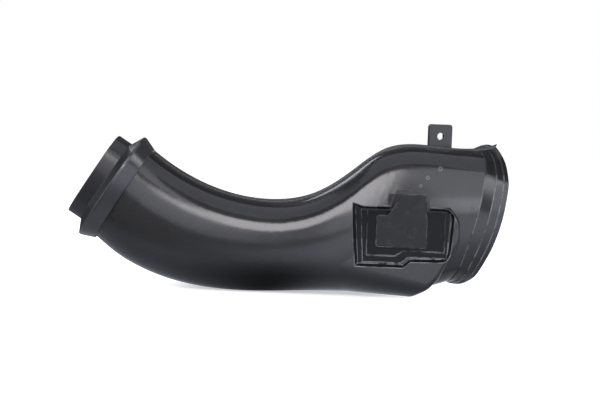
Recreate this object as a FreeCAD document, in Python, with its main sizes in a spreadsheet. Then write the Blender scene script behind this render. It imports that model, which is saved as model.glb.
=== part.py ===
import FreeCAD
import Part
import Sketcher
import math
import os

# Air intake duct: two moulded half shells, an outlet collar and a bolt tab.
# X runs along the duct from the outlet to the mouth, Z is up, Y is its depth.
# The seam between the half shells is the plane Y = 0, the front half is at minus Y.

doc = FreeCAD.newDocument("air_intake_duct")
sheet = doc.addObject("Spreadsheet::Sheet", "sizes")

SIZES = {
    "wall": 2.5,
    "crown": 160,
    "lip_width": 2.2,
    "seam_overlap": 1,
    "terrace_step": 0.8,
    "plug_length": 12,
    "collar_gap": 0.5,
    "collar_lip": 2.2,
    "collar_crest": 7.5,
    "collar_crest_width": 2.5,
    "collar_slope_length": 13,
    "collar_bevel_length": 6.5,
    "spigot_inset": 5.5,
    "spigot_length": 15,
    "spigot_wall": 2.5,
    "lobe_left": 30,
    "lobe_front": 42.3,
    "lobe_angle": 3.2,
    "lobe_back": 3,
    "lobe_low_left": 4,
    "lobe_low_right": 2,
    "lobe_nose_start": 104,
    "lobe_corner_x": 142.5,
    "lobe_corner_z": 37,
    "lobe_side_x": 153.5,
    "lobe_side_z": 66,
    "lobe_top": 92,
    "lobe_round_left": 34,
    "lobe_round_right": 8,
    "nose_round": 22,
    "nose_edge": 5,
    "recess_left": 47,
    "recess_right": 149,
    "recess_top": 91,
    "recess_low": 31,
    "recess_jog_x": 100,
    "recess_jog": 6,
    "recess_depth": 6,
    "recess_round": 9,
    "recess_draft": 24,
    "recess_reach": 20,
    "recess_lead": 1,
    "notch_gap": 4,
    "notch_depth": 5.5,
    "ledge": 4.5,
    "ledge_drop": 4,
    "well_left": 63,
    "well_right": 139,
    "well_top": 86,
    "well_low": 42,
    "well_depth": 15,
    "pad_left": 72,
    "pad_right": 121.5,
    "pad_top": 82,
    "pad_low": 51,
    "pad_drop": 4,
    "tongue_left": 91,
    "tongue_right": 120,
    "tongue_top": 103,
    "tongue_round": 2.5,
    "tab_x": 135,
    "tab_width": 25,
    "tab_height": 25,
    "tab_thickness": 4,
    "tab_angle": 20,
    "tab_set_back": 7,
    "tab_corner": 3,
    "tab_hole": 7.4,
    "tab_hole_drop": 12,
    "tab_foot": 13,
    "tab_foot_rise": 3.5,
    "tab_sink": 0.65,
}

# One row a station along the duct: middle of the section, its height, lean from upright, the turn of the
# front and of the rear half about the seam, depth and corner radius of either half, height of the seam lip
# and how far the top of the front half drops for each millimetre of its depth.
COLUMNS = ("x", "z", "height", "lean", "front_turn", "rear_turn", "front", "rear",
           "front_round", "rear_round", "lip", "sag")
STATIONS = {
    "outlet": (-178, 91, 100, 32, 0, 0, 37, 37, 28, 28, 2.4, 0),
    "neck": (-113, 55, 99, 20.1, 0, 0, 38, 38, 29, 29, 2.4, 0),
    "dip": (-51.5, 44.8, 91.9, 13.2, 0, 0, 40, 38, 30, 28, 2.4, 0),
    "run": (3, 48.9, 93.6, 3.7, 0, 0, 43, 38, 31, 28, 2.4, 0),
    "rise": (47, 61.8, 117.5, 0, 0, 0, 45, 40, 33, 29, 2.4, 0),
    "shoulder": (89.5, 75.4, 141.2, -4.5, 4, 2, 44.5, 44, 31, 30, 2.4, 0),
    "throat": (126, 79.2, 138.5, 3.3, 12, 6, 44, 49, 31, 30, 2.4, 0),
    "ridge": (156.5, 82.8, 133.2, 13.5, 18, 13, 42, 52, 30, 32, 2.8, 0.12),
    "mouth": (168, 84, 138.5, 17.6, 40, 20, 41, 55, 31, 34, 5.2, 0.42),
}
MAIN = ("outlet", "neck", "dip", "run", "rise", "shoulder", "throat", "ridge")
TERRACES = (0, 0.44, 0.77, 1)
# Start, length and depth of the strips of seam flange under the neck, and their slope.
STRIPS = ((-200, 46, 34, 5), (-167, 24, 33, 8))
STRIP_SLOPE = 25


rows = list(SIZES.items())
for station, values in STATIONS.items():
    rows += [("%s_%s" % (station, column), value) for column, value in zip(COLUMNS, values)]
for line, (alias, value) in enumerate(rows, 1):
    sheet.set("A%d" % line, alias)
    sheet.set("B%d" % line, str(value))
    sheet.setAlias("B%d" % line, alias)
doc.recompute()


def size(alias):
    return float(sheet.get(alias))


def station(name):
    return {column: size("%s_%s" % (name, column)) for column in COLUMNS}


def between(first, second, share):
    return {column: first[column] + (second[column] - first[column]) * share for column in COLUMNS}


def along_duct(count):
    # Rows at even steps from the outlet to the first ridge, on smooth curves through the stations.
    rows = [station(one) for one in MAIN]
    steps = [0]
    for first, second in zip(rows, rows[1:]):
        steps.append(steps[-1] + math.hypot(second["x"] - first["x"], second["z"] - first["z"]))
    shares = [step / steps[-1] for step in steps]
    curves = {}
    for column in COLUMNS:
        curves[column] = Part.BSplineCurve()
        curves[column].interpolate(Points=[FreeCAD.Vector(share, row[column], 0)
                                           for share, row in zip(shares, rows)], Parameters=shares)
    return [{column: curve.value(number / count).y for column, curve in curves.items()}
            for number in range(count + 1)]


def section_frame(row, turn, ahead=0):
    # Local x goes to the rear, local y up along the seam, local z along the duct to the mouth.
    lean = math.radians(row["lean"])
    turn = math.radians(row[turn])
    up = FreeCAD.Vector(math.sin(lean), 0, math.cos(lean))
    along = FreeCAD.Vector(math.cos(lean), 0, -math.sin(lean))
    rear = along * -math.sin(turn) + FreeCAD.Vector(0, math.cos(turn), 0)
    normal = rear.cross(up)
    middle = FreeCAD.Vector(row["x"], 0, row["z"]) + normal * ahead
    return FreeCAD.Placement(middle, FreeCAD.Rotation(rear, up, normal, "XYZ"))


def origin_plane(body, role):
    return [plane for plane in body.Origin.OriginFeatures if plane.Role == role][0]


def vector(x, y):
    return FreeCAD.Vector(x, y, 0)


def side_points(height, depth, corner, crown):
    # Points round half a section: flat top, corner, crowned side, corner, flat bottom, all tangent.
    reach = crown - corner
    rise = height / 2 - corner
    start = depth - crown + math.sqrt(reach * reach - rise * rise)
    turn = math.asin(rise / reach)
    angles = [math.pi / 2 - (math.pi / 2 - turn) * share for share in (0, 0.25, 0.5, 0.75, 1)]
    upper = [(0, height / 2), (start * 0.5, height / 2)]
    upper += [(start + corner * math.cos(one), rise + corner * math.sin(one)) for one in angles]
    upper += [(depth - crown + crown * math.cos(turn / 2), crown * math.sin(turn / 2))]
    return upper + [(depth, 0)] + [(x, -y) for x, y in reversed(upper)]


def half_section(name, row, side, grow=0, past=0, ahead=0):
    # Half a section, closed along the seam. side is -1 at the front and 1 at the rear.
    key = "front" if side < 0 else "rear"
    points = side_points(row["height"] + 2 * grow, row[key] + grow, row[key + "_round"] + grow,
                         size("crown") + grow)
    sag = row["sag"] if side < 0 else 0
    points = [vector(side * x, y - sag * x * (0.5 + y / row["height"])) for x, y in points]
    points[0].x = points[-1].x = -side * past
    curve = Part.BSplineCurve()
    count = len(points) - 1
    curve.interpolate(Points=points, Parameters=[one / count for one in range(count + 1)])
    section = doc.addObject("Part::Feature", name)
    section.Shape = Part.Wire([curve.toShape(), Part.makeLine(points[-1], points[0])])
    section.Placement = section_frame(row, key + "_turn", ahead)
    return section


def loft(name, sections, ruled=False):
    skin = doc.addObject("Part::Loft", name)
    skin.Sections = sections
    skin.Solid = True
    skin.Ruled = ruled
    return skin


def fuse(name, shapes):
    whole = doc.addObject("Part::MultiFuse", name)
    whole.Shapes = shapes
    whole.Refine = True
    return whole


steps = along_duct(18)
ridge = station("ridge")
mouth = station("mouth")
rims = [between(ridge, mouth, share) for share in TERRACES]


def duct_top(x):
    # Height of the top of the duct at the seam, between the two rows on either side of x.
    tops = []
    for row in steps:
        lean = math.radians(row["lean"])
        tops.append((row["x"] + math.sin(lean) * row["height"] / 2, row["z"] + math.cos(lean) * row["height"] / 2))
    for first, second in zip(tops, tops[1:]):
        if first[0] <= x <= second[0]:
            share = (x - first[0]) / (second[0] - first[0])
            return first[1] + (second[1] - first[1]) * share
    return tops[-1][1]


def seam_lip(name, side):
    # Raised lip of one half along the top of the seam, up to its upturned end at the mouth.
    rows = [station(one) for one in MAIN] + [mouth]
    ups = [FreeCAD.Vector(math.sin(math.radians(row["lean"])), 0, math.cos(math.radians(row["lean"])))
           for row in rows]
    tops = [FreeCAD.Vector(row["x"], 0, row["z"]) + up * (row["height"] / 2) for row, up in zip(rows, ups)]
    high = Part.BSplineCurve()
    high.interpolate([top + up * row["lip"] for top, up, row in zip(tops, ups, rows)])
    low = Part.BSplineCurve()
    low.interpolate([top - up * (size("wall") / 2) for top, up in zip(tops, ups)])
    edges = [high.toShape(), low.toShape()]
    edges += [Part.makeLine(high.StartPoint, low.StartPoint), Part.makeLine(high.EndPoint, low.EndPoint)]
    strip = doc.addObject("Part::Feature", name + "_lip_face")
    strip.Shape = Part.Face(Part.Wire(Part.__sortEdges__(edges)))
    lip = doc.addObject("Part::Extrusion", name + "_lip")
    lip.Base = strip
    lip.DirMode = "Custom"
    lip.Dir = FreeCAD.Vector(0, side, 0)
    lip.setExpression("LengthFwd", "sizes.lip_width")
    lip.Solid = True
    return lip


def shell_form(name, side):
    # Outside of a half shell: the run of the duct, the terraces of the bell and the lip of the seam.
    cuts = [half_section(name + "_plug", station("outlet"), side, ahead=-size("plug_length"))]
    cuts += [half_section("%s_%d" % (name, number), row, side) for number, row in enumerate(steps)]
    pieces = [loft(name + "_run", cuts)]
    for number in range(len(rims) - 1):
        grow = size("terrace_step") * (number + 1)
        pair = [half_section("%s_rim_%d_%d" % (name, number, end), rims[number + end], side, grow)
                for end in (0, 1)]
        pieces.append(loft("%s_terrace_%d" % (name, number), pair, True))
    return fuse(name + "_form", pieces + [seam_lip(name, side)])


def shell_core(name, side):
    # Air space of a half shell, in the run and in the mouth, past the seam and past both ends.
    inset = -size("wall")
    past = size("seam_overlap")
    cuts = [half_section(name + "_core_plug", station("outlet"), side, inset, past,
                         -size("plug_length") - 6)]
    cuts += [half_section("%s_core_%d" % (name, number), row, side, inset, past)
             for number, row in enumerate(steps)]
    ends = [half_section("%s_core_end_%d" % (name, number), row, side, inset, past, ahead)
            for number, (row, ahead) in enumerate(((ridge, 0), (mouth, 0), (mouth, 12)))]
    return loft(name + "_core_run", cuts), loft(name + "_core_mouth", ends, True)


def amount(text):
    # Value of a sum of named sizes and numbers.
    total = 0
    sign = 1
    for word in text.split():
        if word in ("+", "-"):
            sign = 1 if word == "+" else -1
        else:
            total += sign * (size(word) if word in aliases else float(word))
    return total


def formula(text):
    return " ".join("sizes." + word if word in aliases else word for word in text.split())


def outline(body, name, frame, corners):
    # Closed outline of straight lines, each corner set by two named sizes.
    sketch = body.newObject("Sketcher::SketchObject", name)
    sketch.AttachmentSupport = [(origin_plane(body, "XY_Plane"), "")]
    sketch.MapMode = "FlatFace"
    sketch.AttachmentOffset = frame
    spots = [vector(amount(x), amount(y)) for x, y in corners]
    for first, second in zip(spots, spots[1:] + spots[:1]):
        sketch.addGeometry(Part.LineSegment(first, second))
    count = len(corners)
    for number in range(count):
        sketch.addConstraint(Sketcher.Constraint("Coincident", number, 2, (number + 1) % count, 1))
    for number, (corner, spot) in enumerate(zip(corners, spots)):
        for kind, text, value in (("DistanceX", corner[0], spot.x), ("DistanceY", corner[1], spot.y)):
            limit = sketch.addConstraint(Sketcher.Constraint(kind, -1, 1, number, 1, value))
            sketch.setExpression("Constraints[%d]" % limit, formula(text))
    return sketch


def pad(body, name, sketch, length, reverse=False):
    block = body.newObject("PartDesign::Pad", name)
    block.Profile = (sketch, [""])
    block.setExpression("Length", formula(length))
    block.Reversed = reverse
    body.Tip = block
    return block


def round_edges(body, base, name, radius, wanted):
    # Fillet on the edges of the base feature for which wanted(edge) holds.
    doc.recompute()
    picked = ["Edge%d" % number for number, edge in enumerate(base.Shape.Edges, 1) if wanted(edge)]
    fillet = body.newObject("PartDesign::Fillet", name)
    fillet.Base = (base, picked)
    fillet.setExpression("Radius", formula(radius))
    body.Tip = fillet
    return fillet


def lies_along(edge, direction, least=0.999):
    ends = [one.Point for one in edge.Vertexes]
    if len(ends) < 2 or (ends[1] - ends[0]).Length < 0.01:
        return False
    return abs((ends[1] - ends[0]).normalize().dot(direction)) > least


def new_body(name):
    return doc.addObject("PartDesign::Body", name)


def cut(name, base, tool):
    rest = doc.addObject("Part::Cut", name)
    rest.Base = base
    rest.Tool = tool
    return rest


# Plane of the lobe's front, turned a little towards the viewer at the mouth end. Local y is up.
lobe_turn = math.radians(size("lobe_angle"))
lobe_along = FreeCAD.Vector(math.cos(lobe_turn), -math.sin(lobe_turn), 0)
lobe_out = FreeCAD.Vector(-math.sin(lobe_turn), -math.cos(lobe_turn), 0)


def lobe_plane(out):
    back = size("lobe_front") - size("lobe_left") * math.tan(lobe_turn)
    turn = FreeCAD.Rotation(lobe_along, FreeCAD.Vector(0, 0, 1), lobe_out, "XYZ")
    return FreeCAD.Placement(FreeCAD.Vector(0, -back, 0) + lobe_out * out, turn)


def lobe_section(name, x, corner):
    # Upright section of the lobe with its lower front corner rounded.
    share = (x - size("lobe_left")) / (size("lobe_nose_start") - size("lobe_left"))
    front = -size("lobe_front") - (x - size("lobe_left")) * math.tan(lobe_turn)
    low = size("lobe_low_left") + (size("lobe_low_right") - size("lobe_low_left")) * share
    spots = [(-size("lobe_back"), size("lobe_top")), (front, size("lobe_top")), (front, low + corner),
             (front + corner, low), (-size("lobe_back"), low)]
    spots = [FreeCAD.Vector(x, y, z) for y, z in spots]
    slant = corner * (1 - math.sqrt(0.5))
    bend = Part.Arc(spots[2], FreeCAD.Vector(x, front + slant, low + slant), spots[3]).toShape()
    lines = [Part.makeLine(spots[first], spots[last]) for first, last in ((0, 1), (1, 2), (3, 4), (4, 0))]
    section = doc.addObject("Part::Feature", name)
    section.Shape = Part.Wire(lines[:2] + [bend] + lines[2:])
    return section


def lobe_form():
    # The lobe below the recess: a block along the duct, trimmed to the outline of its nose.
    ends = [lobe_section("lobe_start", size("lobe_left"), size("lobe_round_left")),
            lobe_section("lobe_end", size("lobe_side_x") + 8, size("lobe_round_right"))]
    block = loft("lobe_block", ends, True)
    body = new_body("lobe_nose")
    frame = FreeCAD.Placement(FreeCAD.Vector(0, 0, 0), FreeCAD.Rotation(FreeCAD.Vector(1, 0, 0), 90))
    corners = [("lobe_left - 5", "lobe_low_right - 8"), ("lobe_nose_start - 30", "lobe_low_right - 8"),
               ("lobe_nose_start + 5", "lobe_low_right"), ("lobe_nose_start + 20", "lobe_low_right + 8.5"),
               ("lobe_corner_x - 8.5", "lobe_corner_z - 16.5"), ("lobe_corner_x", "lobe_corner_z"),
               ("lobe_side_x", "lobe_side_z - 8"), ("lobe_side_x", "lobe_side_z + 14"),
               ("lobe_side_x - 13", "lobe_top + 4"), ("lobe_left + 45", "lobe_top + 4"),
               ("lobe_left + 17", "lobe_top - 40"), ("lobe_left - 5", "lobe_top - 50")]
    nose = pad(body, "nose", outline(body, "nose_outline", frame, corners), "lobe_front + 20")
    depth = FreeCAD.Vector(0, 1, 0)
    round_edges(body, nose, "nose_rounds", "nose_round", lambda edge: lies_along(edge, depth)
                and edge.Vertexes[0].X > size("lobe_nose_start") + 10)
    trim = doc.addObject("Part::Common", "lobe")
    trim.Base = block
    trim.Tool = body
    doc.recompute()
    plane = lobe_plane(0)
    picked = []
    for number, edge in enumerate(trim.Shape.Edges, 1):
        spots = [plane.inverse().multVec(spot) for spot in edge.discretize(5)]
        if max(abs(spot.z) for spot in spots) < 0.01 and spots[2].x > size("lobe_nose_start") - 5:
            if spots[2].y < size("lobe_top") - 1:
                picked.append((number, size("nose_edge"), size("nose_edge")))
    soft = doc.addObject("Part::Fillet", "lobe_soft")
    soft.Base = trim
    soft.Edges = picked
    return soft


def recess_tool():
    # Air of the stepped recess: the outer step, the ledge and the deeper well.
    body = new_body("recess_air")
    rim = [("recess_left", "recess_top + 4"), ("recess_left + 11", "recess_top"),
           ("recess_right", "recess_top"), ("recess_right - 4", "recess_low + recess_jog + 1"),
           ("recess_jog_x + 6.5", "recess_low + recess_jog"), ("recess_jog_x", "recess_low"),
           ("recess_left + 5", "recess_low")]
    mouth_sketch = outline(body, "recess_rim", lobe_plane(size("recess_lead")), rim)
    pad(body, "recess_front", mouth_sketch, "recess_reach")
    step = pad(body, "recess_step", mouth_sketch, "recess_depth + recess_lead", True)
    step.setExpression("TaperAngle", "-sizes.recess_draft")
    step = round_edges(body, step, "recess_rounds", "recess_round",
                       lambda edge: lies_along(edge, lobe_out, 0.75) and edge.Vertexes[0].X > size("recess_jog_x") + 12)
    notch = [("tongue_left - notch_gap - 4", "recess_top - 8"),
             ("tongue_left - notch_gap + 3", "tongue_top + notch_gap"),
             ("tongue_right + notch_gap - 1", "tongue_top + notch_gap"),
             ("tongue_right + notch_gap", "recess_top - 8")]
    pad(body, "recess_notch", outline(body, "notch_rim", lobe_plane(size("recess_reach")), notch),
        "recess_reach + notch_depth", True)
    ledge = [("recess_left + ledge + 5", "recess_top - ledge"), ("recess_right - ledge", "recess_top - ledge"),
             ("recess_right - ledge - 3", "recess_low + recess_jog + ledge"),
             ("recess_jog_x + 4", "recess_low + recess_jog + ledge"),
             ("recess_jog_x - 3", "recess_low + ledge"), ("recess_left + ledge + 8", "recess_low + ledge")]
    pad(body, "recess_ledge", outline(body, "ledge_rim", lobe_plane(20), ledge),
        "20 + recess_depth + ledge_drop", True)
    well = [("well_left", "well_top"), ("well_right", "well_top"), ("well_right", "well_low + recess_jog - 1"),
            ("recess_jog_x + 0", "well_low + recess_jog"), ("recess_jog_x - 9", "well_low"),
            ("well_left", "well_low")]
    pad(body, "recess_well", outline(body, "well_rim", lobe_plane(20), well),
        "20 + well_depth", True)
    return body


def recess_wall():
    # The recess and the wall behind it, which stand in the air space of the duct.
    body = new_body("recess_wall")
    rim = [("recess_left - wall", "recess_low - wall"), ("recess_right + wall", "recess_low - wall"),
           ("recess_right + wall", "recess_top + wall"), ("recess_left - wall", "recess_top + wall")]
    pad(body, "wall_step", outline(body, "wall_rim", lobe_plane(30), rim),
        "30 + recess_depth + ledge_drop + wall", True)
    notch = [("tongue_left - notch_gap - 7", "recess_low"), ("tongue_right + notch_gap + wall", "recess_low"),
             ("tongue_right + notch_gap + wall", "tongue_top + notch_gap + wall"),
             ("tongue_left - notch_gap - 7", "tongue_top + notch_gap + wall")]
    pad(body, "wall_notch", outline(body, "wall_notch_rim", lobe_plane(30), notch),
        "30 + notch_depth + wall", True)
    well = [("well_left - wall", "well_low - wall"), ("well_right + wall", "well_low - wall"),
            ("well_right + wall", "well_top + wall"), ("well_left - wall", "well_top + wall")]
    pad(body, "wall_well", outline(body, "wall_well_rim", lobe_plane(30), well),
        "30 + well_depth + wall", True)
    return body


def tongue_form():
    # The raised pad of the recess with the tongue that runs up over its top edge.
    body = new_body("tongue")
    corners = [("pad_left", "pad_low"), ("pad_right", "pad_low"), ("pad_right", "pad_top - 4"),
               ("tongue_right", "pad_top + 6"), ("tongue_right", "tongue_top"),
               ("tongue_left + 6", "tongue_top"), ("tongue_left", "tongue_top - 9"),
               ("tongue_left - 8", "pad_top"), ("pad_left", "pad_top")]
    block = pad(body, "tongue_block", outline(body, "tongue_outline", lobe_plane(-size("pad_drop")), corners),
                "well_depth - pad_drop + 2", True)
    round_edges(body, block, "tongue_rounds", "tongue_round", lambda edge: lies_along(edge, lobe_out))
    return body


def seam_strips(name, side):
    # What is left of the seam flange under the neck of the duct.
    strips = []
    for number, (x, z, length, deep) in enumerate(STRIPS):
        strip = doc.addObject("Part::Box", "%s_strip_%d" % (name, number))
        strip.Length = length
        strip.Height = deep
        strip.setExpression("Width", "sizes.lip_width")
        base = FreeCAD.Vector(x, 0 if side > 0 else -size("lip_width"), z)
        strip.Placement = FreeCAD.Placement(base, FreeCAD.Rotation(FreeCAD.Vector(0, 1, 0), STRIP_SLOPE))
        strips.append(strip)
    return strips


def full_section(name, row, grow, ahead):
    # A whole section of the outlet, grown by an offset and set back along the outlet's axis.
    section = doc.addObject("Part::Feature", name)
    edges = []
    for side, key in ((-1, "front"), (1, "rear")):
        points = side_points(row["height"] + 2 * grow, row[key] + grow, row[key + "_round"] + grow,
                             size("crown") + grow)
        points = [vector(side * x, y) for x, y in points]
        curve = Part.BSplineCurve()
        count = len(points) - 1
        curve.interpolate(Points=points, Parameters=[one / count for one in range(count + 1)])
        edges.append(curve.toShape())
    section.Shape = Part.Wire(edges)
    section.Placement = section_frame(row, "front_turn", ahead)
    return section


def collar_form():
    # Flange and spigot on the end of the tube, bored through, with the tube seated in it.
    row = station("outlet")
    slope = size("collar_gap") + size("collar_slope_length")
    crest = slope + size("collar_crest_width")
    root = crest + size("collar_bevel_length")
    end = root + size("spigot_length")
    shape = [(size("collar_gap"), size("collar_lip")), (slope, size("collar_crest")),
             (crest, size("collar_crest")), (root, -size("spigot_inset")), (end, -size("spigot_inset"))]
    cuts = [full_section("collar_%d" % number, row, grow, -back)
            for number, (back, grow) in enumerate(shape)]
    hole = -size("spigot_inset") - size("spigot_wall")
    bore = [full_section("bore_%d" % number, row, hole, -back) for number, back in enumerate((-5, end + 5))]
    return loft("collar_block", cuts, True), loft("collar_bore", bore, True)


aliases = [alias for alias, value in rows]
front_strips = seam_strips("front", -1)
rear_strips = seam_strips("rear", 1)
front_body = fuse("front_body", [shell_form("front", -1), lobe_form()] + front_strips)
front_cut = cut("front_cut", front_body, recess_tool())
front_solid = fuse("front_solid", [front_cut, tongue_form()])
front_core, front_mouth = shell_core("front", -1)
front_air = cut("front_air", front_core, recess_wall())
front_hollow = cut("front_hollow", front_solid, front_air)
front_shell = cut("front_shell", front_hollow, front_mouth)
rear_form = fuse("rear_body", [shell_form("rear", 1)] + rear_strips)
rear_core, rear_mouth = shell_core("rear", 1)
rear_hollow = cut("rear_hollow", rear_form, rear_core)
rear_shell = cut("rear_shell", rear_hollow, rear_mouth)
collar_block, collar_bore = collar_form()
collar_ring = cut("collar_ring", collar_block, collar_bore)
front_seat = cut("front_seat", collar_ring, doc.getObject("front_run"))
outlet_collar = cut("outlet_collar", front_seat, doc.getObject("rear_run"))
doc.recompute()


def tab_form():
    # Bolt tab: an upright plate with a foot, set down on the rear shell behind the lip of the seam.
    body = new_body("tab_plate")
    turn = math.radians(size("tab_angle"))
    along = FreeCAD.Vector(math.cos(turn), math.sin(turn), 0)
    out = FreeCAD.Vector(math.sin(turn), -math.cos(turn), 0)
    lean = FreeCAD.Rotation(along, FreeCAD.Vector(0, 0, 1), out, "XYZ")
    base = FreeCAD.Vector(size("tab_x"), size("tab_set_back"), tab_base) - along * (size("tab_width") / 2)
    plate = [("0", "0"), ("tab_width", "0"), ("tab_width", "tab_height"), ("0", "tab_height")]
    frame = FreeCAD.Placement(base, lean)
    upright = pad(body, "plate", outline(body, "plate_outline", frame, plate), "tab_thickness", True)
    rounds = round_edges(body, upright, "plate_rounds", "tab_corner", lambda edge: lies_along(edge, out)
                         and edge.Vertexes[0].Z > tab_base + size("tab_height") / 2)
    sketch = body.newObject("Sketcher::SketchObject", "hole_circle")
    sketch.AttachmentSupport = [(origin_plane(body, "XY_Plane"), "")]
    sketch.MapMode = "FlatFace"
    sketch.AttachmentOffset = frame
    middle = vector(size("tab_width") / 2, size("tab_height") - size("tab_hole_drop"))
    sketch.addGeometry(Part.Circle(middle, FreeCAD.Vector(0, 0, 1), size("tab_hole") / 2))
    sizes = (("DistanceX", "sizes.tab_width / 2", middle.x),
             ("DistanceY", "sizes.tab_height - sizes.tab_hole_drop", middle.y))
    for kind, text, value in sizes:
        limit = sketch.addConstraint(Sketcher.Constraint(kind, -1, 1, 0, 3, value))
        sketch.setExpression("Constraints[%d]" % limit, text)
    limit = sketch.addConstraint(Sketcher.Constraint("Diameter", 0, size("tab_hole")))
    sketch.setExpression("Constraints[%d]" % limit, "sizes.tab_hole")
    hole = body.newObject("PartDesign::Pocket", "bolt_hole")
    hole.Profile = (sketch, [""])
    hole.setExpression("Length", "sizes.tab_thickness")
    hole.Midplane = False
    body.Tip = hole
    foot = [("0", "0"), ("tab_width", "0"), ("tab_width", "tab_foot_rise"), ("0", "tab_foot_rise")]
    pad(body, "foot", outline(body, "foot_outline", frame, foot), "tab_foot", True)
    return body


tab_base = duct_top(size("tab_x")) - size("tab_sink")
plate = tab_form()
doc.recompute()
mounting_tab = cut("mounting_tab", plate, rear_form)
doc.recompute()

# The finished pieces, moved so that the middle of the bolt hole is the origin, each in a file of its own.
turn = math.radians(size("tab_angle"))
out = FreeCAD.Vector(math.sin(turn), -math.cos(turn), 0)
hole_height = tab_base + size("tab_height") - size("tab_hole_drop")
hole = FreeCAD.Vector(size("tab_x"), size("tab_set_back"), hole_height) - out * (size("tab_thickness") / 2)
for one in doc.Objects:
    if "Invalid" in one.State or "Error" in one.State:
        raise RuntimeError("%s did not build" % one.Name)
os.makedirs("parts", exist_ok=True)
for piece in (front_shell, rear_shell, outlet_collar, mounting_tab):
    piece.Label = piece.Name
    piece.Placement = FreeCAD.Placement(hole * -1, FreeCAD.Rotation())
    shape = piece.Shape
    if shape.isNull() or not shape.isValid() or len(shape.Solids) != 1:
        raise RuntimeError("%s is not one sound solid" % piece.Name)
    print(piece.Name, round(shape.Volume), len(shape.Faces))
    shape.exportStep("parts/%s.step" % piece.Name)
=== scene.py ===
import math
import bpy
from mathutils import Matrix, Vector


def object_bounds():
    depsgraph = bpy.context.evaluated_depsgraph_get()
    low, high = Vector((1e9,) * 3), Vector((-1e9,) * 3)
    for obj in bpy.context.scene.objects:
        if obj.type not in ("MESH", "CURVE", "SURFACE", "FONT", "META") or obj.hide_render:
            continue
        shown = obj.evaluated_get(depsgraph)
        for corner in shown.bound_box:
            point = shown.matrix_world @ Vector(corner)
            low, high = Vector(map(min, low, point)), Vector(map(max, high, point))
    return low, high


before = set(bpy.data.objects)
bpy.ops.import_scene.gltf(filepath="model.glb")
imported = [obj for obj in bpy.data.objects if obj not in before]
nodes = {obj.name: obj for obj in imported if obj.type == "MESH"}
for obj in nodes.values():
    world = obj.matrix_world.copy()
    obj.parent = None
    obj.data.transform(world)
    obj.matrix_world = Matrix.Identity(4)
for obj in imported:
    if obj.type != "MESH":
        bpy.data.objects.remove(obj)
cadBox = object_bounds()
mm = 0.001
perMetre = 1000.0  # mm in a metre, for lengths inside node trees
# middle of the bolt hole, the frame's origin, measured in the duct's own drawing in mm
drawingOrigin = Vector((134.316, 8.879, 160.504))


def place(x, y, z):
    # a point of the duct's drawing, in metres of the frame
    return (Vector((x, y, z)) - drawingOrigin) * mm


def addNode(tree, kind, **values):
    made = tree.nodes.new(kind)
    for name, value in values.items():
        setattr(made, name, value)
    return made


def feed(tree, socket, value):
    # a socket takes a link or a plain value
    if hasattr(value, "is_output"):
        tree.links.new(value, socket)
    else:
        socket.default_value = value


def calc(tree, work, *values):
    made = addNode(tree, "ShaderNodeMath", operation=work)
    for socket, value in zip(made.inputs, values):
        feed(tree, socket, value)
    return made.outputs[0]


def plus(tree, first, second):
    return calc(tree, "ADD", first, second)


def minus(tree, first, second):
    return calc(tree, "SUBTRACT", first, second)


def times(tree, first, second):
    return calc(tree, "MULTIPLY", first, second)


def without(tree, mask, share=1.0):
    # 1 where the mask is empty, less by the share where it is full
    return minus(tree, 1.0, times(tree, mask, share))


def choose(tree, pick, yes, no):
    return plus(tree, times(tree, yes, pick), times(tree, no, without(tree, pick)))


def larger(tree, values):
    most = values[0]
    for one in values[1:]:
        most = calc(tree, "MAXIMUM", most, one)
    return most


def ramp(tree, value, low, high, start=0.0, end=1.0):
    # value from low to high becomes start to end, smoothly
    made = addNode(tree, "ShaderNodeMapRange", interpolation_type="SMOOTHSTEP")
    for socket, one in zip(made.inputs, (value, low, high, start, end)):
        feed(tree, socket, one)
    return made.outputs[0]


def mixColour(tree, share, first, second):
    # a Mix node has its share at 0, its two colours at 6 and 7, and their mixture at output 2
    made = addNode(tree, "ShaderNodeMix", data_type="RGBA")
    feed(tree, made.inputs[0], share)
    feed(tree, made.inputs[6], first)
    feed(tree, made.inputs[7], second)
    return made.outputs[2]


white = (1, 1, 1, 1)
greyTint = (0.97, 0.98, 1.08)  # every grey leans a little to blue


def grey(value):
    return tuple(value * one for one in greyTint) + (1,)


def surfacePoint(tree):
    return addNode(tree, "ShaderNodeTexCoord").outputs["Object"]


def axes(tree, vector):
    made = addNode(tree, "ShaderNodeSeparateXYZ")
    tree.links.new(vector, made.inputs[0])
    return made.outputs


def drawingAxes(tree):
    # x, y and z of the surface in mm of the drawing
    spot = axes(tree, surfacePoint(tree))
    return [plus(tree, times(tree, spot[n], perMetre), drawingOrigin[n]) for n in range(3)]


def distanceFrom(tree, start, direction):
    # mm from a point of the drawing, measured along a direction
    spot = addNode(tree, "ShaderNodeVectorMath", operation="SUBTRACT")
    tree.links.new(surfacePoint(tree), spot.inputs[0])
    spot.inputs[1].default_value = place(*start)
    made = addNode(tree, "ShaderNodeVectorMath", operation="DOT_PRODUCT")
    tree.links.new(spot.outputs[0], made.inputs[0])
    made.inputs[1].default_value = Vector(direction) * perMetre
    return made.outputs["Value"]


noiseMiddle = 0.5


def noise(tree, scale, detail, twist=0.0):
    made = addNode(tree, "ShaderNodeTexNoise")
    made.inputs["Scale"].default_value = scale
    made.inputs["Detail"].default_value = detail
    made.inputs["Distortion"].default_value = twist
    tree.links.new(surfacePoint(tree), made.inputs["Vector"])
    return made.outputs[0]


def newGroup(name, inputs, outputs):
    tree = bpy.data.node_groups.new(name, "ShaderNodeTree")
    for label, value in inputs:
        socket = tree.interface.new_socket(name=label, in_out="INPUT", socket_type="NodeSocketFloat")
        socket.default_value = value
    for label in outputs:
        tree.interface.new_socket(name=label, in_out="OUTPUT", socket_type="NodeSocketFloat")
    return tree, addNode(tree, "NodeGroupInput").outputs, addNode(tree, "NodeGroupOutput").inputs


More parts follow.
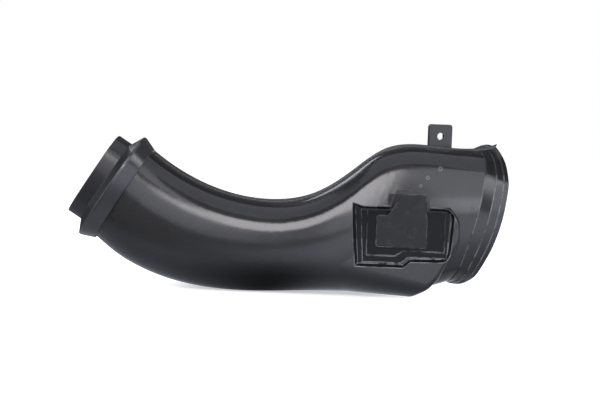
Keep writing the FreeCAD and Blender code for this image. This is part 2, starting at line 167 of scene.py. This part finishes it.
def useGroup(tree, group, **values):
    made = addNode(tree, "ShaderNodeGroup", node_tree=group)
    for label, value in values.items():
        feed(tree, made.inputs[label], value)
    return made.outputs


# 2x2 twill: tows in a repeat and how many lie over, noise that bends and shades the tows,
# and how square a face stands to an axis before the cloth is laid along the next one
twillLook = {"repeat": 4.0, "over": 2.0, "bendScale": 22.0, "bendDetail": 1.0, "shadeScale": 60.0,
             "shadeDetail": 3.0, "facing": 0.72}


def clothCoordinates(tree):
    # lengths in mm over the surface: along the duct, and round it from the side or the top
    x, y, z = (times(tree, one, perMetre) for one in axes(tree, surfacePoint(tree)))
    face = axes(tree, addNode(tree, "ShaderNodeTexCoord").outputs["Normal"])
    onEnd, onTop = (calc(tree, "GREATER_THAN", calc(tree, "ABSOLUTE", face[n]), twillLook["facing"])
                    for n in (0, 2))
    return choose(tree, onEnd, y, x), choose(tree, onTop, y, z)


# which tow lies on top, how its back is rounded, and how far its colour drifts
def makeTwill():
    tree, given, out = newGroup("twillCloth", [("Tow", 1.0), ("Turn", 45.0), ("Drift", 0.35), ("Waver", 6.0)],
                                ["Over", "Height", "Tone"])
    along, around = clothCoordinates(tree)
    bend = minus(tree, noise(tree, twillLook["bendScale"], twillLook["bendDetail"]), noiseMiddle)
    along = plus(tree, along, times(tree, bend, given["Waver"]))
    turn = calc(tree, "RADIANS", given["Turn"])
    cosine = calc(tree, "COSINE", turn)
    sine = calc(tree, "SINE", turn)
    warp = plus(tree, times(tree, along, cosine), times(tree, around, sine))
    weft = minus(tree, times(tree, around, cosine), times(tree, along, sine))
    warp, weft = (calc(tree, "DIVIDE", one, given["Tow"]) for one in (warp, weft))
    count = plus(tree, calc(tree, "FLOOR", warp), calc(tree, "FLOOR", weft))
    step = calc(tree, "FLOORED_MODULO", count, twillLook["repeat"])
    over = calc(tree, "LESS_THAN", step, twillLook["over"])
    warpBack, weftBack = (calc(tree, "SINE", times(tree, calc(tree, "FRACT", one), math.pi))
                          for one in (warp, weft))
    shade = minus(tree, noise(tree, twillLook["shadeScale"], twillLook["shadeDetail"]), noiseMiddle)
    feed(tree, out["Over"], over)
    feed(tree, out["Height"], choose(tree, over, warpBack, weftBack))
    feed(tree, out["Tone"], plus(tree, times(tree, shade, given["Drift"]), 1.0))
    return tree


# dust and hand marks of a used part
handlingLook = {"dustScale": 900.0, "dustDetail": 2.0, "dustRange": (0.66, 0.78),
                "smearScale": 28.0, "smearDetail": 4.0, "smearTwist": 0.6, "smearRange": (0.42, 0.72)}


def makeHandling():
    look = handlingLook
    tree, given, out = newGroup("handlingMarks", [("Dust", 0.5)], ["Dust", "Smear"])
    specks = ramp(tree, noise(tree, look["dustScale"], look["dustDetail"]), *look["dustRange"])
    smear = noise(tree, look["smearScale"], look["smearDetail"], look["smearTwist"])
    feed(tree, out["Dust"], times(tree, specks, given["Dust"]))
    feed(tree, out["Smear"], ramp(tree, smear, *look["smearRange"]))
    return tree


# 1 inside an upright box of the drawing, 0 outside, with a soft edge
def makeZone():
    tree, given, out = newGroup("boxZone", [("Left", 0.0), ("Right", 1.0), ("Low", 0.0), ("High", 1.0),
                                            ("Back", 0.0), ("Soft", 0.4)], ["Inside"])
    x, y, z = drawingAxes(tree)

    def above(value, limit):
        return ramp(tree, value, minus(tree, limit, given["Soft"]), plus(tree, limit, given["Soft"]))

    inside = times(tree, above(x, given["Left"]), above(z, given["Low"]))
    for value, limit in ((x, given["Right"]), (z, given["High"]), (y, given["Back"])):
        inside = times(tree, inside, without(tree, above(value, limit)))
    feed(tree, out["Inside"], inside)
    return tree


# flat face of the lobe: a point on it in mm and its turn from square on, in degrees
lobeFace = {"at": (30.0, -42.3, 0.0), "turn": 3.2}


# a mask that rises with the depth behind the face of the lobe
def makeSunk():
    tree, given, out = newGroup("sunkInLobe", [("Start", 0.8), ("Deep", 3.0)], ["Sunk"])
    turn = math.radians(lobeFace["turn"])
    depth = distanceFrom(tree, lobeFace["at"], (math.sin(turn), math.cos(turn), 0.0))
    feed(tree, out["Sunk"], ramp(tree, depth, given["Start"], given["Deep"]))
    return tree


# painted highlight: thin pale lines along sharp edges, where the edges catch the light, broken up a little
highlightLineLook = {"samples": 6, "bent": (0.015, 0.09), "patchScale": 90.0, "patchDetail": 2.0,
              "fadeBelow": 0.08, "fadeAbove": 0.12}


def makeEdges():
    look = highlightLineLook
    tree, given, out = newGroup("rubbedEdges", [("Reach", 0.0009), ("Break", 0.4)], ["Edge"])
    soft = addNode(tree, "ShaderNodeBevel", samples=look["samples"])
    feed(tree, soft.inputs["Radius"], given["Reach"])
    same = addNode(tree, "ShaderNodeVectorMath", operation="DOT_PRODUCT")
    tree.links.new(soft.outputs[0], same.inputs[0])
    tree.links.new(addNode(tree, "ShaderNodeNewGeometry").outputs["Normal"], same.inputs[1])
    bent = ramp(tree, minus(tree, 1.0, same.outputs["Value"]), *look["bent"])
    kept = ramp(tree, noise(tree, look["patchScale"], look["patchDetail"]),
                minus(tree, given["Break"], look["fadeBelow"]), plus(tree, given["Break"], look["fadeAbove"]))
    feed(tree, out["Edge"], times(tree, bent, kept))
    return tree


# a faint ring or spot left by something round, on the front of the duct
def makeRing():
    tree, given, out = newGroup("ringMark", [("X", 0.0), ("Z", 0.0), ("Radius", 3.0), ("Width", 0.5)],
                                ["Mark"])
    x, y, z = drawingAxes(tree)
    x = minus(tree, x, given["X"])
    z = minus(tree, z, given["Z"])
    reach = calc(tree, "SQRT", plus(tree, times(tree, x, x), times(tree, z, z)))
    off = calc(tree, "ABSOLUTE", minus(tree, reach, given["Radius"]))
    front = calc(tree, "LESS_THAN", y, 0.0)
    feed(tree, out["Mark"], times(tree, without(tree, ramp(tree, off, 0.0, given["Width"])), front))
    return tree


twillCloth = makeTwill()
handlingMarks = makeHandling()
boxZone = makeZone()
ringMark = makeRing()
sunkInLobe = makeSunk()
rubbedEdges = makeEdges()
print("node groups made")


def newMaterial(name):
    made = bpy.data.materials.new(name)
    made.use_nodes = True
    return made, made.node_tree, made.node_tree.nodes["Principled BSDF"]


def setFinish(tree, shader, colour, rough, gloss):
    feed(tree, shader.inputs["Base Color"], colour)
    feed(tree, shader.inputs["Roughness"], rough)
    feed(tree, shader.inputs["Coat Weight"], gloss)


# what every piece of cloth under the coat shares; lengths in metres
coatLook = {"ior": 1.5, "specular": 0.2, "dustGrey": 0.32, "overRough": 0.08, "reliefDepth": 0.0004,
            "edgeSamples": 6}


def weaveLook(tree, shader, look):
    # cloth under a clear coat; gives base colour and roughness for further layers
    cloth = useGroup(tree, twillCloth, Tow=look["tow"], Turn=look["turn"])
    dust = useGroup(tree, handlingMarks, Dust=look["dust"])["Dust"]
    tone = addNode(tree, "ShaderNodeCombineColor")
    for socket in tone.inputs:
        tree.links.new(cloth["Tone"], socket)
    shade = addNode(tree, "ShaderNodeMix", data_type="RGBA", blend_type="MULTIPLY")
    shade.inputs[0].default_value = 1.0
    # painted sheen: the tows lying over and under get a lighter and a darker grey, for the way the two
    # directions of tow catch the light
    tree.links.new(mixColour(tree, cloth["Over"], grey(look["dark"]), grey(look["light"])), shade.inputs[6])
    tree.links.new(tone.outputs[0], shade.inputs[7])
    colour = mixColour(tree, dust, shade.outputs[2], grey(coatLook["dustGrey"]))
    rough = plus(tree, times(tree, cloth["Over"], coatLook["overRough"]), look["rough"])
    edge = addNode(tree, "ShaderNodeBevel", samples=coatLook["edgeSamples"])
    edge.inputs["Radius"].default_value = look["edge"]
    bump = addNode(tree, "ShaderNodeBump")
    bump.inputs["Strength"].default_value = look["relief"]
    bump.inputs["Distance"].default_value = coatLook["reliefDepth"]
    tree.links.new(cloth["Height"], bump.inputs["Height"])
    tree.links.new(edge.outputs[0], bump.inputs["Normal"])
    tree.links.new(bump.outputs[0], shader.inputs["Normal"])
    tree.links.new(edge.outputs[0], shader.inputs["Coat Normal"])
    shader.inputs["IOR"].default_value = coatLook["ior"]
    shader.inputs["Specular IOR Level"].default_value = coatLook["specular"]
    shader.inputs["Coat IOR"].default_value = coatLook["ior"]
    shader.inputs["Coat Roughness"].default_value = look["coatRough"]
    return colour, rough


shellLook = {"tow": 0.85, "turn": -15.0, "dark": 0.002, "light": 0.011, "dust": 0.06, "relief": 0.35,
             "coatRough": 0.15, "rough": 0.28, "edge": 0.0014, "smear": 0.12}
# matt pad in the recess; boxes are left, right, low and high in mm of the drawing
padLook = {"boxes": [(71.5, 122.0, 50.5, 82.0), (82.5, 120.5, 82.0, 103.3)], "back": -30.0,
           "grey": 0.02, "pale": 0.045, "rough": 0.62, "dull": 0.85,
           "mottleScale": 75.0, "mottleDetail": 3.0, "mottleTwist": 1.5, "mottleRange": (0.46, 0.78)}
# painted shade: the well around the pad is darkened, from start to full depth behind the face of the lobe
recessShadeLook = {"boxes": [(46.2, 103.0, 30.4, 95.6), (103.0, 143.5, 36.0, 90.5)], "back": -24.0,
              "start": 4.4, "full": 6.2, "dark": 0.002, "share": 0.95, "dull": 0.65, "metal": 0.88}
# zones of painted edge highlights over the recess and the terraces of the bell: left, right, low, high, back,
# strength
edgeHighlightLook = {"zones": [(44.0, 150.0, 28.0, 58.0, -24.0, 1.0), (44.0, 150.0, 50.0, 108.0, -24.0, 0.4),
                      (156.0, 206.0, 20.0, 125.0, -8.0, 0.5)],
            "pale": 0.42, "share": 0.75, "reach": 0.0013, "gaps": 0.4}
# rings and smudges on the bell: x, z, radius and width in mm of the drawing
ringLook = {"spots": [(132.6, 129.4, 1.7, 1.3), (120.4, 120.2, 1.4, 1.1), (113.8, 112.1, 1.1, 0.9)],
            "grey": 0.2, "share": 0.5}
smudgeLook = {"spots": [(150.9, 139.0, 0.0, 3.0), (159.9, 132.5, 0.0, 2.4), (174.3, 138.9, 0.0, 2.6),
                        (183.5, 140.2, 0.0, 2.2), (164.8, 92.6, 0.0, 2.4)],
              "grey": 0.008, "share": 0.7, "dull": 0.4}


def zoneMask(tree, left, right, low, high, back):
    return useGroup(tree, boxZone, Left=left, Right=right, Low=low, High=high, Back=back)["Inside"]


def markMask(tree, spots):
    return larger(tree, [useGroup(tree, ringMark, X=x, Z=z, Radius=radius, Width=width)["Mark"]
                         for x, z, radius, width in spots])


def padLayer(tree):
    look = padLook
    mask = larger(tree, [zoneMask(tree, *box, look["back"]) for box in look["boxes"]])
    mottle = noise(tree, look["mottleScale"], look["mottleDetail"], look["mottleTwist"])
    spots = ramp(tree, mottle, *look["mottleRange"])
    return mask, mixColour(tree, spots, grey(look["grey"]), grey(look["pale"]))


# painted shade in the recess, inside its rim and deeper behind the face of the lobe
def recessShadeMask(tree):
    look = recessShadeLook
    rim = larger(tree, [zoneMask(tree, *box, look["back"]) for box in look["boxes"]])
    return times(tree, useGroup(tree, sunkInLobe, Start=look["start"], Deep=look["full"])["Sunk"], rim)


def edgeHighlightMask(tree):
    look = edgeHighlightLook
    zones = larger(tree, [times(tree, zoneMask(tree, *box), strength) for *box, strength in look["zones"]])
    return times(tree, useGroup(tree, rubbedEdges, Reach=look["reach"], Break=look["gaps"])["Edge"], zones)


def makeFrontCarbon():
    made, tree, shader = newMaterial("frontCarbon")
    colour, rough = weaveLook(tree, shader, shellLook)
    pad, padColour = padLayer(tree)
    rings = markMask(tree, ringLook["spots"])
    smudge = markMask(tree, smudgeLook["spots"])
    # painted shade darkens the recess and takes the gloss off it
    recessShade = recessShadeMask(tree)
    # painted highlight: pale lines along the edges of the recess and the terraces of the bell
    edge = edgeHighlightMask(tree)
    layers = [(rings, ringLook["share"], grey(ringLook["grey"])),
              (smudge, smudgeLook["share"], grey(smudgeLook["grey"])),
              (recessShade, recessShadeLook["share"], grey(recessShadeLook["dark"])),
              (pad, 1.0, padColour),
              (edge, edgeHighlightLook["share"], grey(edgeHighlightLook["pale"]))]
    for mask, share, layerColour in layers:
        colour = mixColour(tree, times(tree, mask, share), colour, layerColour)
    rough = plus(tree, rough, times(tree, pad, padLook["rough"] - shellLook["rough"]))
    gloss = times(tree, without(tree, pad, padLook["dull"]), without(tree, smudge, smudgeLook["dull"]))
    gloss = times(tree, gloss, without(tree, recessShade, recessShadeLook["dull"]))
    setFinish(tree, shader, colour, rough, gloss)
    # painted shade: the well is nearly black metal, which keeps the sheen off it
    bare = without(tree, larger(tree, [pad, edge]))
    feed(tree, shader.inputs["Metallic"], times(tree, times(tree, recessShade, recessShadeLook["metal"]), bare))
    return made


def makePlainCarbon(name, look):
    made, tree, shader = newMaterial(name)
    colour, rough = weaveLook(tree, shader, look)
    smear = useGroup(tree, handlingMarks)["Smear"]
    setFinish(tree, shader, colour, rough, without(tree, smear, look["smear"]))
    return made


collarLook = dict(shellLook, turn=-13.0, light=0.036, dark=0.029, relief=0.03, coatRough=0.14)
# plain spigot: a point on the collar's axis in mm, the axis's lean in degrees, and where the spigot starts
spigotLook = {"middle": (-178.0, 0.0, 91.0), "lean": 32.0, "start": 16.4, "soft": 0.3,
              "colour": 0.025, "rough": 0.3, "dull": 0.6}


def makeCollar():
    look = spigotLook
    made, tree, shader = newMaterial("collarCarbon")
    colour, rough = weaveLook(tree, shader, collarLook)
    lean = math.radians(look["lean"])
    reach = distanceFrom(tree, look["middle"], (-math.cos(lean), 0.0, math.sin(lean)))
    spigot = ramp(tree, reach, look["start"] - look["soft"], look["start"] + look["soft"])
    colour = mixColour(tree, spigot, colour, grey(look["colour"]))
    rough = plus(tree, rough, times(tree, spigot, look["rough"] - collarLook["rough"]))
    setFinish(tree, shader, colour, rough, without(tree, spigot, look["dull"]))
    return made


tabLook = dict(shellLook, turn=30.0, light=0.02, dark=0.008, coatRough=0.3)
finishes = {"front_shell": makeFrontCarbon(), "rear_shell": makePlainCarbon("rearCarbon", shellLook),
            "outlet_collar": makeCollar(), "mounting_tab": makePlainCarbon("tabCarbon", tabLook)}
for name, finish in finishes.items():
    piece = nodes[name]
    piece.data.materials.clear()
    piece.data.materials.append(finish)
print("finishes set on", len(finishes), "pieces")

# pale floor that runs out of the picture; places and ranges in metres of the frame
floorLook = {
    "size": 14.0,
    # brightness to the camera, away from the duct and close to it, where its shadow falls
    "glow": 1.0, "glowNear": 0.52,
    "nearFront": (-0.12, -0.42), "nearBack": (0.0, 0.08), "nearSide": (0.06, 0.16),
    # painted reflection, a glow only the coat mirrors: bright far off, dim close by as painted shade of the
    # duct, and brighter under the left end
    "tint": (0.92, 0.97, 1.14, 1),
    "reflected": 1.5, "reflectedNear": 0.02, "reflectedRange": (0.02, 0.36), "leftFade": (-0.34, -0.1),
    "reflectedLeft": 0.5, "leftReach": (0.05, 0.22), "leftSpan": (-0.3, -0.16),
    # the right part counts as further off by this much
    "rightShift": 0.13, "rightSpan": (-0.19, -0.09),
    # plain grey of the floor to other rays and to the camera
    "shade": 0.09, "shadeSeen": 0.85,
}


# painted reflection of the floor: dim close to the duct as its painted shade, brighter under the raised left
# end
def floorMirror(tree, x, y):
    look = floorLook
    off = calc(tree, "ABSOLUTE", plus(tree, y, -cadBox[0].y))
    off = plus(tree, off, ramp(tree, x, *look["rightSpan"], 0.0, look["rightShift"]))
    shine = ramp(tree, off, *look["reflectedRange"], look["reflectedNear"], look["reflected"])
    shine = times(tree, shine, ramp(tree, x, *look["leftFade"]))
    left = times(tree, ramp(tree, off, *look["leftReach"], 1.0, 0.0),
                 ramp(tree, x, *look["leftSpan"], 1.0, 0.0))
    return plus(tree, shine, times(tree, left, look["reflectedLeft"]))


def floorGlow(tree, x, y):
    look = floorLook
    middle = (cadBox[0].x + cadBox[1].x) / 2
    aside = calc(tree, "ABSOLUTE", minus(tree, x, middle))
    away = larger(tree, [ramp(tree, y, *look["nearFront"]), ramp(tree, y, *look["nearBack"]),
                         ramp(tree, aside, *look["nearSide"])])
    return ramp(tree, away, 0.0, 1.0, look["glowNear"], look["glow"])


def makePaleFloor():
    look = floorLook
    made = bpy.data.materials.new("paleFloor")
    made.use_nodes = True
    tree = made.node_tree
    tree.nodes.clear()
    path = addNode(tree, "ShaderNodeLightPath").outputs
    toCamera = path["Is Camera Ray"]
    x, y = axes(tree, surfacePoint(tree))[:2]
    seen = plus(tree, times(tree, toCamera, floorGlow(tree, x, y)),
                times(tree, path["Is Glossy Ray"], floorMirror(tree, x, y)))
    glow = addNode(tree, "ShaderNodeEmission")
    feed(tree, glow.inputs["Strength"], seen)
    feed(tree, glow.inputs["Color"], mixColour(tree, toCamera, look["tint"], white))
    matt = addNode(tree, "ShaderNodeBsdfDiffuse")
    shade, shadeSeen = ((look[one],) * 3 + (1,) for one in ("shade", "shadeSeen"))
    feed(tree, matt.inputs["Color"], mixColour(tree, toCamera, shade, shadeSeen))
    both = addNode(tree, "ShaderNodeAddShader")
    tree.links.new(glow.outputs[0], both.inputs[0])
    tree.links.new(matt.outputs[0], both.inputs[1])
    end = addNode(tree, "ShaderNodeOutputMaterial")
    tree.links.new(both.outputs[0], end.inputs["Surface"])
    return made


def makeFloor():
    low = cadBox[0].z
    half = floorLook["size"] / 2
    corners = [(-half, -half, low), (half, -half, low), (half, half, low), (-half, half, low)]
    mesh = bpy.data.meshes.new("floor")
    mesh.from_pydata(corners, [], [(0, 1, 2, 3)])
    mesh.materials.append(makePaleFloor())
    floor = bpy.data.objects.new("floor", mesh)
    bpy.context.scene.collection.objects.link(floor)


makeFloor()

# soft studio light: boxes in front, beside, above and behind, a panel left and right; metres from lookAt
coolTint = (0.95, 0.97, 1.07)
roseTint = (1.0, 0.975, 1.0)
lamps = [
    {"name": "frontBox", "at": (-0.36, -2.0, 0.92), "wide": 0.9, "tall": 0.86, "power": 20.5,
     "tint": roseTint},
    {"name": "sideBox", "at": (1.1, -1.5, 0.95), "wide": 2.0, "tall": 1.4, "power": 16.0, "twist": 20.0},
    {"name": "fillBox", "at": (0.35, -2.1, 0.26), "wide": 1.4, "tall": 0.5, "power": 4.2},
    {"name": "rightPanel", "at": (1.9, -0.9, 0.45), "wide": 1.2, "tall": 0.9, "power": 8.0},
    {"name": "backBox", "at": (-0.7, 1.1, 0.8), "wide": 0.8, "tall": 0.4, "power": 2.0},
    {"name": "leftPanel", "at": (-2.0, -1.0, 0.5), "wide": 1.9, "tall": 1.5, "power": 24.0},
    {"name": "overheadBox", "at": (0.0, -0.2, 1.7), "wide": 2.2, "tall": 1.8, "power": 10.0},
]
lookAt = place(-3.5, 0, 91.7)  # middle of the picture


def makeLamps():
    for lamp in lamps:
        data = bpy.data.lights.new(lamp["name"], "AREA")
        data.shape = "RECTANGLE"
        data.size = lamp["wide"]
        data.size_y = lamp["tall"]
        data.energy = lamp["power"]
        data.color = lamp.get("tint", coolTint)
        made = bpy.data.objects.new(lamp["name"], data)
        made.location = lookAt + Vector(lamp["at"])
        aim = (lookAt - made.location).to_track_quat("-Z", "Y").to_matrix()
        twist = Matrix.Rotation(math.radians(lamp.get("twist", 0.0)), 3, "Z")
        made.rotation_euler = (aim @ twist).to_euler()
        bpy.context.scene.collection.objects.link(made)


makeLamps()

# a little light from all round, and white behind the duct
worldLook = {"fill": 0.08, "seen": 1.0}


def makeWorld():
    world = bpy.data.worlds.new("studio")
    bpy.context.scene.world = world
    world.use_nodes = True
    tree = world.node_tree
    back = tree.nodes["Background"]
    back.inputs["Color"].default_value = white
    toCamera = addNode(tree, "ShaderNodeLightPath").outputs["Is Camera Ray"]
    feed(tree, back.inputs["Strength"], ramp(tree, toCamera, 0.0, 1.0, worldLook["fill"], worldLook["seen"]))


makeWorld()

# camera at the photograph's angle: metres away and across at the seam, degrees of height and roll
view = {"far": 1.7, "wide": 0.6, "above": 3.0, "roll": 2.2, "sensor": 36}


def makeCamera():
    above = math.radians(view["above"])
    roll = math.radians(view["roll"])
    ahead = Vector((0, math.cos(above), -math.sin(above)))
    side = Vector((1, 0, 0))
    up = side.cross(ahead)
    right = side * math.cos(roll) + up * math.sin(roll)
    top = up * math.cos(roll) - side * math.sin(roll)
    data = bpy.data.cameras.new("camera")
    data.sensor_width = view["sensor"]
    data.lens = view["sensor"] * view["far"] / view["wide"]
    camera = bpy.data.objects.new("camera", data)
    turn = Matrix((right, top, -ahead)).transposed().to_4x4()
    camera.matrix_world = Matrix.Translation(lookAt - ahead * view["far"]) @ turn
    bpy.context.scene.collection.objects.link(camera)
    bpy.context.scene.camera = camera


makeCamera()
bpy.context.scene.view_settings.view_transform = "Standard"
print("stage, lamps and camera set")
